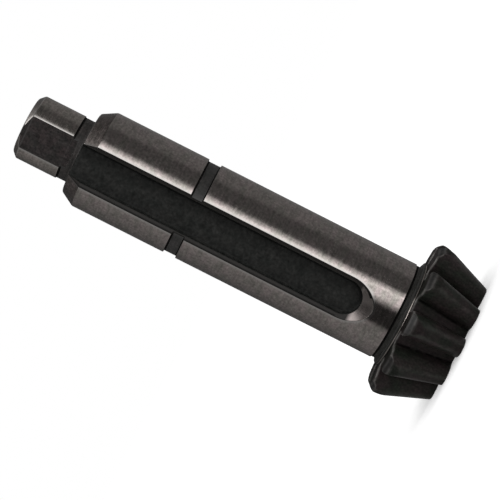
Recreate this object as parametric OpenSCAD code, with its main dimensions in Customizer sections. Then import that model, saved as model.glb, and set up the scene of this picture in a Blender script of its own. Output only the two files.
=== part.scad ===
// Straight bevel pinion, turned and cut in one piece with its shaft.
// It stands on the small end of its teeth, with the shaft's axis along +Z and the stub on top.
// The long slot and the flat on the stub face -Y.

/* [Shaft] */
// Diameter of the ground journal, the long bearing surface
journal_d = 19.05; // [18:0.05:20]
// Length of the journal, from its run-out behind the teeth to the nose face
journal_length = 64.2; // [58:0.1:72]
// Length of the taper that leads into the journal at the nose
nose_taper_length = 2.8; // [1.5:0.1:4]
// Diameter of the nose face, where the taper starts
nose_face_d = 15.9; // [15:0.1:17]
// Length of the run-out groove between the journal and the collar
run_out_length = 1.1; // [0.8:0.1:2]
// Depth of the run-out groove below the journal
run_out_depth = 0.2; // [0.1:0.05:0.8]

/* [Ring groove] */
// Distance from the nose face to the near wall of the ring groove
ring_groove_from_nose = 21.5; // [15:0.1:30]
// Width of the ring groove
ring_groove_width = 2.5; // [1:0.1:5]
// Depth of the ring groove below the journal
ring_groove_depth = 0.4; // [0.2:0.05:1]

/* [Slot] */
// Distance from the nose face to the middle of the slot's round end
slot_length = 54.4; // [30:0.1:56]
// Width of the slot between its straight walls
slot_width = 6.5; // [5:0.05:7.5]
// Depth of the slot's floor below the journal
slot_depth = 2.4; // [1.8:0.05:3]
// Radius in the corners of the slot's floor
slot_fillet = 0.6; // [0.2:0.05:0.9]
// Depth that the bevel along the slot's rim reaches below the journal
rim_bevel_depth = 1.35; // [0.9:0.05:1.6]
// Angle of the rim's bevel from the slot's walls
rim_bevel_angle = 60; // [30:1:65]

/* [Stub] */
// Diameter of the stub
stub_d = 12.6; // [12:0.05:13.4]
// Length of the stub beyond its neck
stub_length = 9.1; // [7:0.1:14]
// Bevel on the stub's end
stub_bevel = 1; // [0.3:0.1:1.5]
// Length of the neck between the nose face and the stub
neck_length = 2.2; // [1:0.1:4]
// Depth of the neck below the stub
neck_depth = 0.2; // [0.15:0.05:0.5]
// Depth of the flat below the stub's surface
flat_depth = 0.85; // [0.4:0.05:1.6]
// Length of the neck that the flat leaves whole next to the nose face
flat_stop = 1.2; // [0.2:0.1:2]

/* [Gear] */
// Number of teeth
tooth_count = 10; // [8:1:14]
// Number of teeth on the gear that it drives, which sets the angle of the pitch cone
mate_teeth = 30; // [24:1:48]
// Pitch diameter for each tooth, at the front of the crown
pitch_module = 2.54; // [2.3:0.02:2.8]
// Pressure angle of the involute flanks
pressure_angle = 20; // [16:0.5:24]
// Thickness of a tooth along the pitch circle
tooth_thickness = 4.7; // [4.2:0.05:5]
// Height of a tooth above the pitch circle
addendum = 2.5; // [1.8:0.05:2.8]
// Depth of a tooth space below the pitch circle
dedendum = 2.7; // [2:0.05:3]
// Radius in the corners of a tooth space
root_fillet = 0.7; // [0.3:0.05:0.9]
// Length of the rounding on the two long edges of a tooth's tip
tip_round = 0.45; // [0.1:0.05:0.6]
// Length of the gear along the axis, from the small end to the back face at the collar
gear_length = 11.5; // [9:0.1:14]
// Length of the band at full diameter around the crown
crown_band = 1.6; // [0.4:0.1:2.4]
// Length of the bevel between the crown and the back face
back_bevel_length = 1.1; // [0.4:0.1:1.8]
// Height of the bevel between the crown and the back face
back_bevel_height = 1; // [0.4:0.1:2.2]
// How far the back face falls from the collar out to its bevel
back_fall = 0.3; // [0.1:0.05:0.6]
// Bevel at the small end of the tooth tips
toe_bevel = 0.3; // [0.1:0.05:0.8]
// Angle around the axis from the slot's middle to the middle of the next tooth
tooth_phase = 8.6; // [0:0.1:36]

/* [Collar] */
// Thickness of the collar behind the teeth
collar_length = 0.6; // [0.4:0.1:2]
// Height of the tooth roots above the collar's rim, at the back face
collar_step = 0.65; // [0.3:0.05:1.2]

/* [Lathe centres] */
// Diameter of the 60 degree centre in each end
centre_d = 5; // [3:0.1:6]
// Diameter of the pilot hole at the bottom of each centre
pilot_d = 2; // [1:0.1:2.5]
// Depth of the pilot hole beyond the cone
pilot_length = 2.4; // [1:0.1:4]

/* [Hidden] */

// Smoothness of the round surfaces, and of the corners and flanks of a tooth space
$fn = 180;
corner_steps = 5;
flank_steps = 9;
edge_steps = 4;

// How far a cut runs past the surface that it opens
overcut = 1;

// Height of the slot's wall that always stays straight between its fillet and its bevel
least_wall = 0.1;

// Heights of the steps along the shaft, from the small end of the teeth upwards
back_edge = gear_length - back_fall;
band_back = back_edge - back_bevel_length;
band_front = band_back - crown_band;
collar_top = gear_length + collar_length;
journal_start = collar_top + run_out_length;
nose_face = journal_start + journal_length;
stub_start = nose_face + neck_length;
shaft_end = stub_start + stub_length;
ring_groove_top = nose_face - ring_groove_from_nose;
slot_end = nose_face - slot_length;

// Radii of the steps
journal_r = journal_d / 2;
run_out_r = journal_r - run_out_depth;
ring_groove_r = journal_r - ring_groove_depth;
nose_face_r = nose_face_d / 2;
stub_r = stub_d / 2;
neck_r = stub_r - neck_depth;

// The pitch cone. All the lines of the teeth meet in its apex, below the small end.
tooth_pitch = 360 / tooth_count;
cone_angle = atan(tooth_count / mate_teeth);
pitch_r = pitch_module * tooth_count / 2;
cone_length = pitch_r / tan(cone_angle);
apex = band_front - cone_length;

// Radii of a tooth at the front of the crown
tip_r = pitch_r + addendum;
root_r = pitch_r - dedendum;
outside_r = tip_r + overcut;

// Turn that brings the space drawn along +Y to the side of the slot
slot_side = 180;

// The flat gear that has the same flanks as the cone seen square to its surface
flat_pitch_r = pitch_r / cos(cone_angle);
flat_base_r = flat_pitch_r * cos(pressure_angle);
base_r = flat_base_r * cos(cone_angle);
flat_half_tooth = degrees(tooth_thickness / 2 / flat_pitch_r);

collar_r = root_r * cone_scale(gear_length) - collar_step;

// The lathe centre's cone is cut at 30 degrees to the axis, and its pilot ends in a drill point
centre_slope = 30;
drill_slope = 60;

function degrees(radians) = radians * 180 / PI;

// Size of a cross-section at height z, measured against the one at the front of the crown
function cone_scale(z) = (z - apex) / cone_length;

// The involute function, in degrees
function involute(angle) = degrees(tan(angle)) - angle;

// Half the angle that a tooth takes up at radius r, at the front of the crown
function half_tooth(r) =
    (flat_half_tooth + involute(pressure_angle)
        - involute(acos(min(1, flat_base_r * cos(cone_angle) / r)))) / cos(cone_angle);

// Half the angle that a tooth space takes up at radius r
function half_space(r) = tooth_pitch / 2 - half_tooth(r);

// Point at radius r and at an angle from the middle of a tooth space, which points along +Y
function at(r, angle) = [r * sin(angle), r * cos(angle)];

// Point on the curve that leaves a towards b and arrives at c
function curve(a, b, c, t) = (1 - t) * (1 - t) * a + 2 * t * (1 - t) * b + t * t * c;

// Fillet between the floor of a tooth space and the side of a tooth
function corner_points() =
    let (
        side = half_space(base_r),
        middle_r = root_r + root_fillet,
        middle_angle = side - asin(root_fillet / middle_r),
        first = -90 - middle_angle,
        last = -side
    )
    [for (i = [0:corner_steps])
        let (turn = first + (last - first) * i / corner_steps)
        at(middle_r, middle_angle) + root_fillet * [cos(turn), sin(turn)]];

// Involute side of a tooth, up to where the rounding of the tip starts
function flank_points() =
    let (
        middle_r = root_r + root_fillet,
        low = max(base_r, sqrt(middle_r * middle_r - root_fillet * root_fillet) + tip_round),
        high = tip_r - tip_round
    )
    [for (i = [0:flank_steps - 1])
        let (r = low + (high - low) * i / flank_steps)
        at(r, half_space(r))];

// Rounded long edge of a tooth's tip, and the way out past it
function edge_points() =
    let (
        low = tip_r - tip_round,
        land = half_space(tip_r) + degrees(tip_round / tip_r)
    )
    [for (i = [0:edge_steps])
        curve(at(low, half_space(low)), at(tip_r, half_space(tip_r)), at(tip_r, land), i / edge_steps),
     at(outside_r, land)];

// Whole outline of a tooth space at the front of the crown
function space_outline() =
    let (half = concat(corner_points(), flank_points(), edge_points()), last = len(half) - 1)
    concat([[0, root_r]], half, [for (i = [0:last]) [-half[last - i][0], half[last - i][1]]]);

// One tooth space, which shrinks towards the apex and runs out at both ends
module tooth_space() {
    outline = space_outline();
    count = len(outline);
    polyhedron(
        points = [for (z = [-overcut, gear_length + collar_length / 2]) for (p = outline)
            [p[0] * cone_scale(z), p[1] * cone_scale(z), z]],
        faces = concat(
            [[for (i = [0:count - 1]) i]],
            [[for (i = [0:count - 1]) 2 * count - 1 - i]],
            [for (i = [0:count - 1]) [i, i + count, (i + 1) % count + count, (i + 1) % count]]
        ),
        convexity = 4
    );
}

// Everything that comes off the lathe and the grinder.
// The profile starts on the side of the slot, so that the seam of each round face lies there.
module turned_blank() {
    rotate(-90)
        rotate_extrude()
            polygon([
                [0, 0],
                [tip_r * cone_scale(0) - toe_bevel, 0],
                [tip_r * cone_scale(toe_bevel), toe_bevel],
                [tip_r, band_front],
                [tip_r, band_back],
                [tip_r - back_bevel_height, back_edge],
                [collar_r, gear_length],
                [collar_r, collar_top],
                [run_out_r, collar_top],
                [run_out_r, journal_start],
                [journal_r, journal_start],
                [journal_r, ring_groove_top - ring_groove_width],
                [ring_groove_r, ring_groove_top - ring_groove_width],
                [ring_groove_r, ring_groove_top],
                [journal_r, ring_groove_top],
                [journal_r, nose_face - nose_taper_length],
                [nose_face_r, nose_face],
                [neck_r, nose_face],
                [neck_r, stub_start],
                [stub_r, stub_start],
                [stub_r, shaft_end - stub_bevel],
                [stub_r - stub_bevel, shaft_end],
                [0, shaft_end]
            ]);
}

// Half the outline of the slot, from the middle of its floor out past the journal
function slot_outline() =
    let (
        half = slot_width / 2,
        wall = slot_depth - rim_bevel_depth,
        fillet = min(slot_fillet, wall - least_wall),
        top = slot_depth + overcut
    )
    concat(
        [[0, 0]],
        [for (i = [0:corner_steps])
            let (turn = 90 * i / corner_steps)
            [half - fillet + fillet * sin(turn), fillet - fillet * cos(turn)]],
        [[half, wall], [half + (top - wall) * tan(rim_bevel_angle), top], [0, top]]
    );

// The slot, with straight walls, a bevelled rim and a round end like the cutter that made it
module slot_cut() {
    outline = slot_outline();
    translate([0, slot_depth - journal_r, slot_end]) {
        for (side = [0, 1])
            mirror([side, 0, 0])
                linear_extrude(slot_length + overcut)
                    mirror([0, 1])
                        polygon(outline);
        rotate([90, 0, 0])
            rotate_extrude()
                polygon(outline);
    }
}

// The flat milled along the stub, which stops short of the nose face
module flat_cut() {
    height = flat_depth + overcut;
    translate([-stub_r, -stub_r - overcut, nose_face + flat_stop])
        cube([stub_d, height, shaft_end]);
}

// A lathe centre, which opens downwards at the origin
module lathe_centre() {
    cone_depth = (centre_d - pilot_d) / 2 / tan(centre_slope);
    point_depth = pilot_d / 2 / tan(drill_slope);
    rotate_extrude()
        polygon([
            [0, -overcut],
            [centre_d / 2 + overcut * tan(centre_slope), -overcut],
            [pilot_d / 2, cone_depth],
            [pilot_d / 2, cone_depth + pilot_length],
            [0, cone_depth + pilot_length + point_depth]
        ]);
}

module pinion_shaft() {
    color("#5b5753")
        difference() {
            turned_blank();
            for (i = [0:tooth_count - 1])
                rotate(slot_side + tooth_phase + (i + 0.5) * tooth_pitch)
                    tooth_space();
            slot_cut();
            flat_cut();
            lathe_centre();
            translate([0, 0, shaft_end])
                mirror([0, 0, 1])
                    lathe_centre();
        }
}

pinion_shaft();
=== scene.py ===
"""Finishes the straight bevel pinion and its shaft, and sets up its studio and camera.

The part stands on the small end of its teeth, with its axis along +Z and its long slot facing -Y.
Sizes are in millimetres until a mesh is made, and the mesh is in metres like the frame.
"""
import logging
import math
from collections.abc import Sequence
from dataclasses import dataclass, field
from enum import Enum
from functools import cached_property

import bpy
from mathutils import Matrix, Vector


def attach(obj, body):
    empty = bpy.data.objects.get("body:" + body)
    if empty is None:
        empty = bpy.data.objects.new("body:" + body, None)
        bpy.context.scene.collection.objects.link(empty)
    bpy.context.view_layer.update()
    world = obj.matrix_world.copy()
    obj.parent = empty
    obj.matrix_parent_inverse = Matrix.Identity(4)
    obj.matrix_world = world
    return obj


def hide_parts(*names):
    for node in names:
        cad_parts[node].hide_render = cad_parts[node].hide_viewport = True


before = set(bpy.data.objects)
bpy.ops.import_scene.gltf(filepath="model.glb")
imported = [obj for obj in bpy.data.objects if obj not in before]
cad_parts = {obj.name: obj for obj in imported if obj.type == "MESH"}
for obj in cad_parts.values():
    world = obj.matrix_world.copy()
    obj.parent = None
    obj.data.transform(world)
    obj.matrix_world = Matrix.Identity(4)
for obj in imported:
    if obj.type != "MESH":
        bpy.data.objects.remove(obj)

log = logging.getLogger("pinion")

MM = 0.001
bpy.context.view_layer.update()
BODY = "root"
QUARTER = math.pi / 2
FULL = 2 * math.pi
ARC_STEPS = 5
NOISE_RANGE = (0.3, 0.7)
CAMERA_AZIMUTH = math.radians(12.6)

Point = tuple[float, float, float]
Outline = list[tuple[float, float, float, float, float]]
Socket = bpy.types.NodeSocket


class Zone(Enum):
    """Which finish a face of the part has, and its place among the material slots."""

    GROUND = 0
    TURNED = 1
    STUB = 2
    NECK = 3
    GROOVE = 4
    SLOT = 5
    RIM = 6
    FLAT = 7
    BLACK = 8
    BEVEL = 9
    COLLAR = 10
    TAPER = 11
    LAND = 12
    # SHADE is painted shade in corners and along the slot's rim.
    SHADE = 13


def polar(r: float, angle: float, z: float) -> Point:
    """Point at radius r and height z, at an angle in radians from -Y towards +X."""
    return r * math.sin(angle), -r * math.cos(angle), z


def clamp(value: float) -> float:
    """Value held between 0 and 1."""
    return min(1.0, max(0.0, value))


def blend_min(a: float, b: float, width: float) -> float:
    """Lower of two heights, rounded where they are closer than width."""
    return min(a, b) - max(width - abs(a - b), 0.0) ** 2 / (4 * width)


def bend(a: Sequence[float], b: Sequence[float], c: Sequence[float], t: float) -> tuple[float, ...]:
    """Point on the curve that leaves a towards b and arrives at c, for t from 0 to 1."""
    return tuple((1 - t) ** 2 * p + 2 * t * (1 - t) * q + t * t * s for p, q, s in zip(a, b, c))


def spread(breaks: Sequence[float], counts: Sequence[int]) -> list[float]:
    """Even steps between break points, without the first one.

    Args:
        breaks: Rising values, one more than there are counts.
        counts: Number of steps in each stretch.

    Returns:
        The end of every step.
    """
    steps = []
    for low, high, count in zip(breaks, breaks[1:], counts):
        steps += [low + (high - low) * (i + 1) / count for i in range(count)]
    return steps


def show(name: str, data: bpy.types.ID) -> bpy.types.Object:
    """Puts an object with a mesh, lamp or camera in the scene.

    Args:
        name: Name of the object.
        data: What it shows.

    Returns:
        The new object.
    """
    shown = bpy.data.objects.new(name, data)
    bpy.context.scene.collection.objects.link(shown)
    return shown


class Skin:
    """Points and faces of one mesh, with the wear of each point and a finish for each face.

    Wear goes from -1, painted shade in the tooth roots, through 0, plain, to 1, rubbed bright. On the slot's
    finishes a positive wear is painted shade instead, and next to the rims of the slot and the flat it is
    partly a painted highlight.
    """

    def __init__(self) -> None:
        """Starts with nothing in it."""
        self.points: list[Point] = []
        self.wear: list[float] = []
        self.faces: list[tuple[int, ...]] = []
        self.zones: list[int] = []

    def add(self, points: list[Point], wear: float | list[float] = 0.0) -> list[int]:
        """Adds points.

        Args:
            points: Places in millimetres.
            wear: Wear of each point, or one value for all.

        Returns:
            Their numbers in the mesh.
        """
        first = len(self.points)
        self.points += points
        self.wear += wear if isinstance(wear, list) else [wear] * len(points)
        return list(range(first, len(self.points)))

    def angles(self, ids: list[int]) -> list[float]:
        """Angle of points from -Y towards +X."""
        return [math.atan2(self.points[i][0], -self.points[i][1]) for i in ids]

    def face(self, corners: list[int], zone: Zone) -> None:
        """Adds one face, counter-clockwise as seen from outside, without repeated corners.

        Args:
            corners: Numbers of its points.
            zone: Its finish.
        """
        kept = [c for i, c in enumerate(corners) if c != corners[i - 1]]
        if len(kept) > 2:
            self.faces.append(tuple(kept))
            self.zones.append(zone.value)

    def strip(self, low: list[int], high: list[int], zones: Zone | list[Zone], closed: bool = True) -> None:
        """Joins two rows of points with four-sided faces.

        Args:
            low: The row that is further from the stub's end, counter-clockwise as seen from it.
            high: The next row.
            zones: One finish, or one for each face.
            closed: Whether the rows run all the way round.
        """
        for i in range(len(low) if closed else len(low) - 1):
            j = (i + 1) % len(low)
            zone = zones[i] if isinstance(zones, list) else zones
            self.face([low[i], low[j], high[j], high[i]], zone)

    def cap(self, ring: list[int], tip: int, zone: Zone, up: bool) -> None:
        """Closes a ring with triangles to one point.

        Args:
            ring: Numbers of the ring's points, counter-clockwise from above.
            tip: Number of the point.
            zone: The finish.
            up: Whether the faces look up.
        """
        for i, a in enumerate(ring):
            b = ring[(i + 1) % len(ring)]
            self.face([a, b, tip] if up else [b, a, tip], zone)

    def build(self, name: str, materials: list[bpy.types.Material]) -> bpy.types.Object:
        """Makes the mesh object, smooth, with normals weighted by the area of the faces.

        Args:
            name: Name of the object and its mesh.
            materials: One material for each zone, in order.

        Returns:
            The new object.
        """
        mesh = bpy.data.meshes.new(name)
        mesh.from_pydata([[c * MM for c in p] for p in self.points], [], self.faces)
        for material in materials:
            mesh.materials.append(material)
        mesh.polygons.foreach_set("material_index", self.zones)
        mesh.polygons.foreach_set("use_smooth", [True] * len(self.faces))
        mesh.attributes.new("wear_and_shade", "FLOAT", "POINT").data.foreach_set("value", self.wear)
        mesh.update()
        normals = [Vector() for _ in self.points]
        for polygon in mesh.polygons:
            weighted = polygon.normal * polygon.area
            for corner in polygon.vertices:
                normals[corner] += weighted
        mesh.normals_split_custom_set_from_vertices([n.normalized() for n in normals])
        return show(name, mesh)


@dataclass(frozen=True)
class Row:
    """One height at which the shaft's skin has points."""

    z: float
    r: float
    zone: Zone
    wear: float = 0.0


@dataclass(frozen=True)
class Corner:
    """Corner of the turned profile.

    The finish belongs to the surface between this corner and the next one up.
    """

    z: float
    r: float
    rounding: float = 0.0
    zone: Zone = Zone.TURNED
    wear: float = 1.0

    def toward(self, other: "Corner") -> tuple[float, float]:
        """Height and radius at which the rounding meets the side to another corner."""
        share = self.rounding / math.hypot(self.z - other.z, self.r - other.r)
        return self.z + (other.z - self.z) * share, self.r + (other.r - self.r) * share

    def rounded(self, before: "Corner", after: "Corner") -> list[Row]:
        """Cuts the rounded corner into rows, with wear where it is convex.

        Args:
            before: The corner below.
            after: The corner above.

        Returns:
            Rows from the bottom up.
        """
        convex = (self.r - before.r) * (after.z - before.z) > (after.r - before.r) * (self.z - before.z)
        start, end = self.toward(before), self.toward(after)
        rows = []
        for k in range(ARC_STEPS + 1):
            t = k / ARC_STEPS
            z, r = bend(start, (self.z, self.r), end, t)
            wear = self.wear * math.sin(math.pi * t) if convex else 0.0
            rows.append(Row(z, r, before.zone if t < 0.5 else self.zone, wear))
        return rows


def profile_rows(corners: list[Corner], longest: float) -> list[Row]:
    """Rounds the corners of a profile and cuts its long sides into steps.

    Args:
        corners: The profile from the bottom up. The first and the last corner stay sharp.
        longest: Longest step along a side.

    Returns:
        Rows from the bottom up.
    """
    rows: list[Row] = []
    for i, corner in enumerate(corners):
        if 0 < i < len(corners) - 1 and corner.rounding > 0:
            rows += corner.rounded(corners[i - 1], corners[i + 1])
        else:
            rows.append(Row(corner.z, corner.r, corner.zone))
    filled = rows[:1]
    for row in rows[1:]:
        last = filled[-1]
        steps = max(1, math.ceil(math.hypot(row.z - last.z, row.r - last.r) / longest))
        for k in range(1, steps):
            t = k / steps
            filled.append(Row(last.z + (row.z - last.z) * t, last.r + (row.r - last.r) * t, last.zone))
        filled.append(row)
    return filled


@dataclass
class LongSlot:
    """The milled slot, with straight walls, a bevelled rim and a round end.

    Its section runs from the middle of the floor up the wall and out along the bevel.
    """

    half_width: float = 3.25
    floor_height: float = 7.125
    fillet: float = 0.6
    bevel_height: float = 8.175
    bevel_angle: float = math.radians(60)
    end_z: float = 23.0
    brow: float = 0.1
    floor_steps: int = 5
    fillet_steps: int = 6
    brow_steps: int = 3
    bevel_steps: int = 4
    # Painted shade: darker across the floor towards the wall, darkest in the fillet at the wall's foot, and
    # darker along the bevel towards the rim.
    floor_shade: float = 0.5
    wall_shade: float = 0.6
    bevel_shades: tuple[float, ...] = (0.0, 0.15, 0.9, 1.0)
    # Share of the painted shade that stays at the foot of a wall facing -X.
    far_shade: float = 0.1
    longest: float = 12.0
    halvings: int = 40

    def __post_init__(self) -> None:
        """Works out the section, the length along it at each point, and its counts of points."""
        self.points = self.section()
        steps = [math.dist(p, q) for p, q in zip(self.points, self.points[1:])]
        self.lengths = [sum(steps[:i + 1]) for i in range(len(steps))]
        self.foot = self.floor_steps + self.fillet_steps + 1
        self.wall_faces = self.foot + self.brow_steps
        self.inside_steps = len(self.lengths) + self.bevel_steps

    def section(self) -> list[tuple[float, float]]:
        """Distance from the middle line and height over the axis of each point, as far as the brow.

        Returns:
            The points from the middle of the floor out.
        """
        inner = self.half_width - self.fillet
        points = [(inner * i / self.floor_steps, self.floor_height) for i in range(self.floor_steps + 1)]
        for turn in spread([0, QUARTER], [self.fillet_steps]):
            lift = self.fillet * (1 - math.cos(turn))
            points.append((inner + self.fillet * math.sin(turn), self.floor_height + lift))
        low = (self.half_width, self.bevel_height - self.brow)
        top = (self.half_width, self.bevel_height)
        high = (self.half_width + self.brow * math.sin(self.bevel_angle),
                self.bevel_height + self.brow * math.cos(self.bevel_angle))
        points += [bend(low, top, high, i / self.brow_steps) for i in range(self.brow_steps + 1)]
        return points

    def shades(self) -> list[float]:
        """How much painted shade each point has, from next to the middle of the floor, over the brow and out
        to the rim.

        Returns:
            A value from 0 to 1 for each point, kept as wear. On the slot's finishes it is painted shade.
        """
        floor = spread([0, self.floor_shade], [self.floor_steps])
        fillet = [1.0] * (self.fillet_steps - 1) + [self.wall_shade]
        brow = [self.wall_shade] + [0.0] * self.brow_steps
        return [*floor, *fillet, *brow, *self.bevel_shades]

    def turned(self, wear: list[float], turn: float) -> list[float]:
        """Painted shade of a section, weaker at the floor and the wall's foot where the section doesn't face
        +X.

        Args:
            wear: Painted shade of its points, as where it faces +X.
            turn: Which way it faces, from 1 for +X to -1 for -X.

        Returns:
            The painted shade of the same points.
        """
        share = self.far_shade + (1 - self.far_shade) * clamp(0.5 + turn)
        return [value * share if i < self.foot else value for i, value in enumerate(wear)]

    def at(self, length: float) -> tuple[float, float]:
        """Distance and height of the section at a length along it.

        Args:
            length: Length from the middle of the floor.

        Returns:
            Distance from the middle line, and height over the axis.
        """
        for (a, b), (c, d) in zip(self.points, self.points[1:]):
            step = math.hypot(c - a, d - b)
            if length <= step:
                return a + (c - a) * length / step, b + (d - b) * length / step
            length -= step
        a, b = self.points[-1]
        return a + length * math.sin(self.bevel_angle), b + length * math.cos(self.bevel_angle)

    def length_at(self, radius: float, share: float) -> float:
        """Length along the section at which it comes out of a round surface.

        Args:
            radius: Radius of the round surface.
            share: Part of the section's distance that runs across the shaft, 1 for square across.

        Returns:
            The length from the middle of the floor.
        """
        low, high = 0.0, self.longest
        for _ in range(self.halvings):
            middle = (low + high) / 2
            distance, height = self.at(middle)
            inside = height ** 2 + (distance * share) ** 2 < radius ** 2
            low, high = (middle, high) if inside else (low, middle)
        return low


@dataclass
class StubFlat:
    """The flat milled along the stub, which ends in a short curve next to the nose."""

    height: float = 5.45
    start_z: float = 78.2
    run_out: float = 0.32
    rise: float = 0.66
    ramp_steps: int = 4

    def surface(self, z: float) -> float:
        """Height of the flat over the axis."""
        return self.height + self.rise * clamp(1 - (z - self.start_z) / self.run_out) ** 2

    def ramp(self) -> list[float]:
        """Heights of the rows over the curved end."""
        return [self.start_z + self.run_out * i / self.ramp_steps for i in range(self.ramp_steps + 1)]


@dataclass
class Shaft:
    """The collar, run-out, journal, nose, neck and stub, with the slot and the flat."""

    slot: LongSlot = field(default_factory=LongSlot)
    flat: StubFlat = field(default_factory=StubFlat)
    heel_z: float = 11.5
    collar_r: float = 10.137
    collar_top: float = 12.1
    run_out_r: float = 9.325
    journal_start: float = 13.2
    journal_r: float = 9.525
    groove_low: float = 53.4
    groove_high: float = 55.9
    groove_r: float = 9.125
    taper_start: float = 74.6
    nose_face: float = 77.4
    nose_face_r: float = 7.95
    neck_r: float = 6.1
    stub_start: float = 79.6
    stub_r: float = 6.3
    bevel_start: float = 87.7
    bevel_r: float = 5.3
    end_z: float = 88.699
    end_r: float = 4.3
    draft: float = 0.05
    seam_depth: float = 0.02
    seam_width: float = 0.2
    collar_round: float = 0.28
    foot_round: float = 0.15
    run_out_round: float = 0.1
    groove_round: float = 0.08
    groove_top_round: float = 0.14
    groove_wear: float = 0.3
    taper_round: float = 0.2
    nose_round: float = 0.35
    neck_round: float = 0.45
    stub_foot_round: float = 0.12
    stub_round: float = 0.08
    bevel_round: float = 0.2
    end_round: float = 0.3
    end_slope: float = 0.01
    bright_ring: float = 0.14
    shade_line: float = 0.4
    low_shade: float = 0.22
    high_shade: float = 0.32
    burnish_and_sheen: float = 0.5
    rim_round: float = 0.1
    rim_turn: float = 0.6
    least_step: float = 0.01
    least_slot: float = 0.05
    least_flat: float = 0.001
    plain_half: float = 2.0
    box_angle: float = math.radians(34)
    box_bottom: float = 16.4
    low_step: float = 1.0
    high_step: float = 3.0
    side_rows: int = 18
    shade_rays: int = 32
    bottom_columns: int = 16
    back_columns: int = 76
    rim_steps: int = 4
    land_steps: int = 5

    def __post_init__(self) -> None:
        """Counts the points across half a cut, and sets out the angles of the columns at the back."""
        self.inside_steps = self.slot.inside_steps
        self.half_steps = self.inside_steps + self.rim_steps + self.land_steps
        self.back = spread([self.box_angle, math.pi], [self.back_columns])

    def low_corners(self) -> list[Corner]:
        """Profile from the back of the teeth to the journal below the slot's end.

        Returns:
            The corners from the bottom up.
        """
        return [
            Corner(self.heel_z - self.seam_depth, self.collar_r + self.seam_width, 0, Zone.BLACK),
            Corner(self.heel_z, self.collar_r, 0, Zone.STUB),
            Corner(self.heel_z + self.bright_ring, self.collar_r, 0, Zone.COLLAR),
            Corner(self.collar_top, self.collar_r, self.collar_round, Zone.COLLAR),
            Corner(self.collar_top + self.draft, self.run_out_r, self.foot_round, Zone.COLLAR),
            # Painted shade in the corner at the journal's step.
            Corner(self.journal_start - self.shade_line, self.run_out_r, 0, Zone.SHADE),
            Corner(self.journal_start - self.draft, self.run_out_r, self.run_out_round, Zone.SHADE),
            Corner(self.journal_start, self.journal_r - self.draft, 0, Zone.SHADE),
            Corner(self.journal_start + self.draft, self.journal_r, 0, Zone.GROUND),
            Corner(self.box_bottom, self.journal_r, 0, Zone.GROUND),
        ]

    def high_corners(self) -> list[Corner]:
        """Profile from the middle of the slot's round end to the end of the stub.

        Returns:
            The corners from the bottom up.
        """
        return [
            Corner(self.slot.end_z, self.journal_r, 0, Zone.GROUND),
            # Painted shade along both walls of the groove.
            Corner(self.groove_low, self.journal_r, self.groove_round, Zone.SHADE, self.groove_wear),
            Corner(self.groove_low + self.draft, self.groove_r, self.groove_round, Zone.SHADE),
            Corner(self.groove_low + self.low_shade, self.groove_r, 0, Zone.GROOVE),
            Corner(self.groove_high - self.high_shade, self.groove_r, 0, Zone.SHADE),
            Corner(self.groove_high - self.draft, self.groove_r, self.groove_round, Zone.SHADE),
            Corner(self.groove_high, self.journal_r, self.groove_top_round, Zone.GROUND, self.groove_wear),
            Corner(self.taper_start, self.journal_r, self.taper_round, Zone.TAPER, 0.0),
            Corner(self.nose_face - self.draft, self.nose_face_r, self.nose_round, Zone.NECK),
            Corner(self.nose_face, self.neck_r, self.neck_round, Zone.NECK),
            *[Corner(z, self.neck_r, 0, Zone.NECK) for z in self.flat.ramp()],
            # Painted shade in the corner at the stub's step.
            Corner(self.stub_start - self.shade_line, self.neck_r, 0, Zone.SHADE),
            Corner(self.stub_start - self.draft, self.neck_r, self.stub_foot_round, Zone.SHADE),
            Corner(self.stub_start, self.stub_r, self.stub_round, Zone.STUB),
            Corner(self.bevel_start, self.stub_r, self.bevel_round, Zone.TURNED),
            Corner(self.end_z - self.end_slope, self.bevel_r, self.end_round, Zone.TURNED),
            Corner(self.end_z, self.end_r, 0, Zone.TURNED),
        ]

    def half_section(self, radius: float, share: float, reach: float) -> list[Point]:
        """Section of the slot from next to its middle line out over its rim and along the round surface.

        Args:
            radius: Radius of the round surface.
            share: Part of the distance that runs across the shaft.
            reach: Distance at which the section ends.

        Returns:
            Distance, height and wear of each point. Inside the slot the wear is painted shade.
        """
        slot = self.slot
        rim = slot.length_at(radius, share)
        stop = rim - self.rim_round
        wanted = [*slot.lengths, *spread([slot.lengths[-1], stop], [slot.bevel_steps])]
        gap = min(self.least_step, stop / (2 * len(wanted)))
        lengths = [min(length, stop - gap * (len(wanted) - 1 - i)) for i, length in enumerate(wanted)]
        points = [(*slot.at(length), shade) for length, shade in zip(lengths, slot.shades())]
        corner = slot.at(rim)
        beyond = corner[0] + self.rim_round
        land = (beyond, math.sqrt(radius ** 2 - (beyond * share) ** 2))
        points += self.rounded_rim(points[-1], corner, land)
        for distance in spread([beyond, reach], [self.land_steps]):
            height = math.sqrt(radius ** 2 - (distance * share) ** 2)
            points.append((distance, height, self.wear_beyond(distance - beyond)))
        return points

    def rounded_rim(self, low: Sequence[float], corner: Sequence[float],
                    land: Sequence[float]) -> list[Point]:
        """Points over a rounded rim, with the wear rising to full at the round surface.

        Args:
            low: Distance and height where the rounding starts.
            corner: The same for the sharp rim.
            land: The same for where it ends on the round surface.

        Returns:
            Distance, height and wear of each point after the first.
        """
        points = []
        for t in spread([0, 1], [self.rim_steps]):
            points.append((*bend(low[:2], corner, land, t), math.sin(QUARTER * t)))
        return points

    def wear_beyond(self, distance: float) -> float:
        """Wear of the round surface at a distance from a rim: burnished steel, and partly a painted
        highlight along the rim.
        """
        return clamp(1 - distance / self.burnish_and_sheen)

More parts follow.
